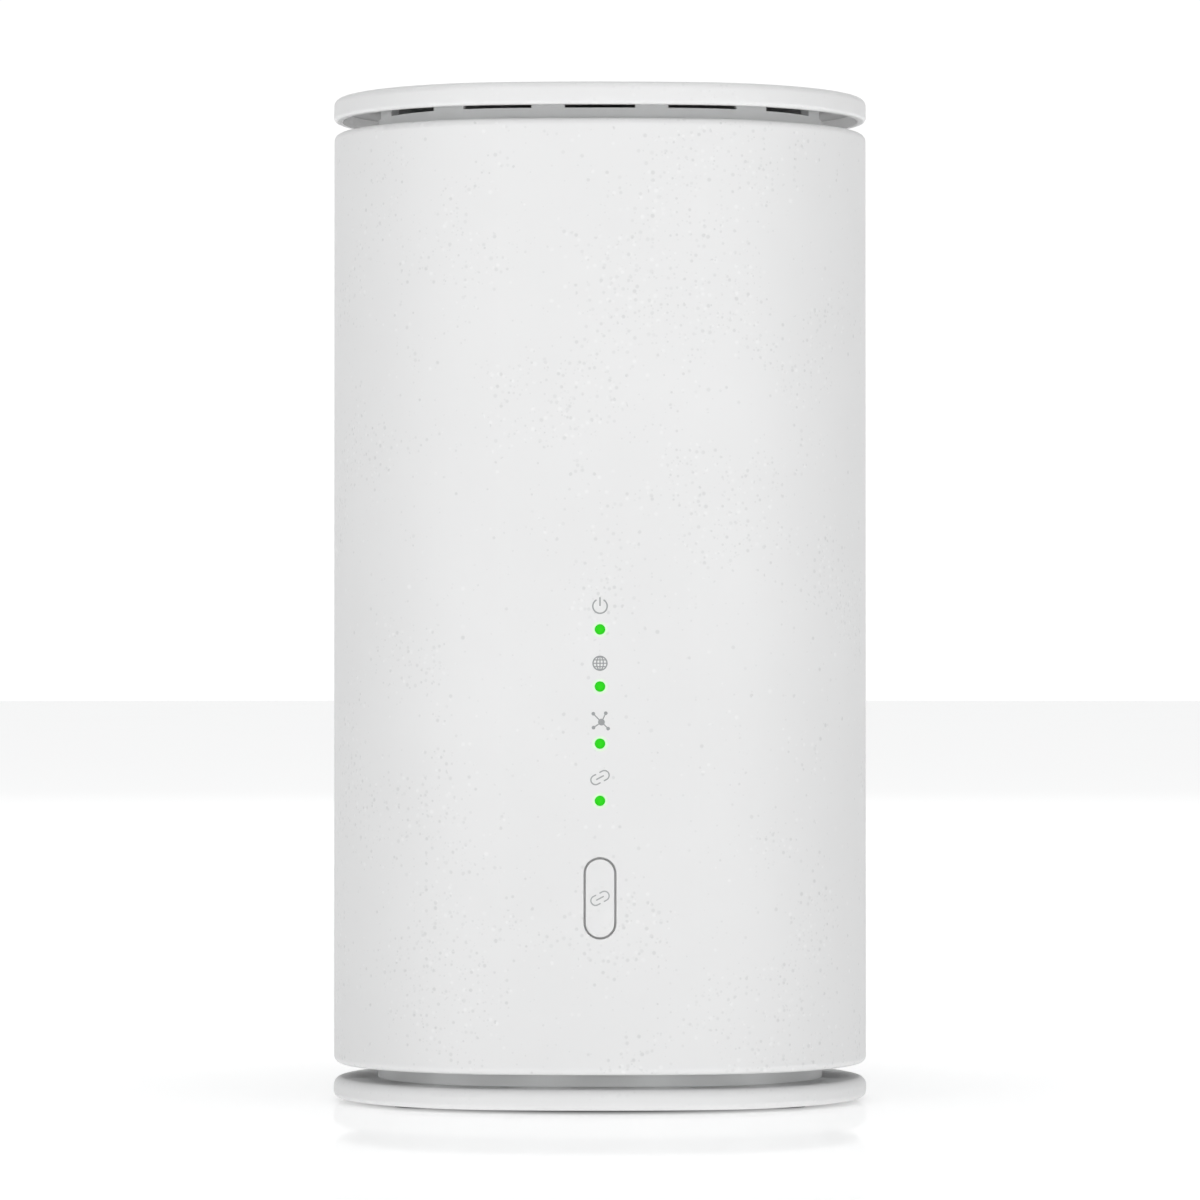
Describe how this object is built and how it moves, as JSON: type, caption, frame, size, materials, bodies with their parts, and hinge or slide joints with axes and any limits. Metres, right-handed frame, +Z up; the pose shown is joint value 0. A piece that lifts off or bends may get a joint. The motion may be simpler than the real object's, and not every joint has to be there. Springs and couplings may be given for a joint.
{
  "type": "mesh wifi node",
  "caption": "Upright white mesh wifi tower with a crowned plan, floating lid and base, front status lamps, a pill-shaped pairing button and a rear socket bay.",
  "frame": {"origin": "middle of the footprint on the surface that the feet stand on", "axes": "+Z up, the front with the lamps and the button faces -Y, +X to the right seen from the front"},
  "size_m": [0.115, 0.086, 0.216],
  "materials": {
    "shell_white": "fine matte moulded plastic with small grey recycled flecks",
    "key_white": "fine matte moulded plastic, smoother than the shell",
    "neck_grey": "matte light grey moulded plastic",
    "panel_grey": "matte grey moulded plastic",
    "frame_grey": "matte dark grey moulded plastic",
    "lamp_green": "clear light pipe lit green",
    "led_yellow": "small lamp package with a phosphor face",
    "foot_rubber": "soft dark rubber",
    "board_green": "solder mask over glass-fibre board",
    "antenna_board": "dark solder mask over glass-fibre board",
    "chip_black": "black moulded package",
    "switch_cream": "natural engineering plastic",
    "jack_black": "black moulded connector housing",
    "contact_gold": "gold-plated contact",
    "steel": "zinc-plated steel",
    "shield_tin": "tin-plated steel sheet",
    "aluminium_fins": "extruded aluminium",
    "capacitor_can": "aluminium can",
    "coil_grey": "moulded iron powder",
    "pad_blue": "soft thermal pad",
    "cable_white": "flat flexible cable",
    "lead_black": "thin coaxial lead"
  },
  "bodies": {
    "housing": {"top_cap": "shell_white", "top_neck": "neck_grey", "cap_screws": "steel", "outer_shell": "shell_white", "base_neck": "neck_grey", "base_plate": "shell_white", "rubber_feet": "foot_rubber", "base_screws": "steel", "light_pipe": "lamp_green", "front_board": "board_green", "front_board_screws": "steel", "led_chips": "led_yellow", "tact_switch": "chip_black", "front_carrier": "frame_grey", "rear_io_panel": "panel_grey", "ethernet_jack_left": "jack_black", "ethernet_jack_middle": "jack_black", "ethernet_jack_right": "jack_black", "jack_contacts": "contact_gold", "dc_jack": "jack_black", "dc_pin": "contact_gold", "reset_switch": "chip_black", "chassis_frame": "frame_grey", "main_pcb": "board_green", "pcb_screws": "steel", "heat_sink_screws": "steel", "front_heat_sink": "aluminium_fins", "rear_heat_sink": "aluminium_fins", "processor": "chip_black", "memory_chips": "chip_black", "radio_chips": "chip_black", "thermal_pads": "pad_blue", "rf_shields": "shield_tin", "power_inductors": "coil_grey", "capacitors": "capacitor_can", "ethernet_magnetics": "chip_black", "flat_cable": "cable_white", "flat_cable_connectors": "switch_cream", "antenna_bracket_left": "frame_grey", "antenna_bracket_right": "frame_grey", "antenna_left_front": "antenna_board", "antenna_left_rear": "antenna_board", "antenna_right_front": "antenna_board", "antenna_right_rear": "antenna_board", "antenna_leads": "lead_black", "coax_connectors": "contact_gold"},
    "pairing_key": {"pairing_button": "key_white"},
    "pairing_plunger": {"tact_plunger": "switch_cream"},
    "reset_pin": {"reset_plunger": "switch_cream"}
  },
  "joints": [
    {"name": "pairing_press", "type": "slide", "parent": "housing", "child": "pairing_key", "axis": [0, 1, 0], "range_m": [0, 0.0005], "stiffness_N_per_m": 3000},
    {"name": "plunger_press", "type": "slide", "parent": "housing", "child": "pairing_plunger", "axis": [0, 1, 0], "range_m": [0, 0.0005]},
    {"name": "reset_press", "type": "slide", "parent": "housing", "child": "reset_pin", "axis": [0, -1, 0], "range_m": [0, 0.0004], "stiffness_N_per_m": 3000}
  ],
  "couplings": [
    {"joint": "plunger_press", "follows": "pairing_press", "ratio": 1}
  ]
}
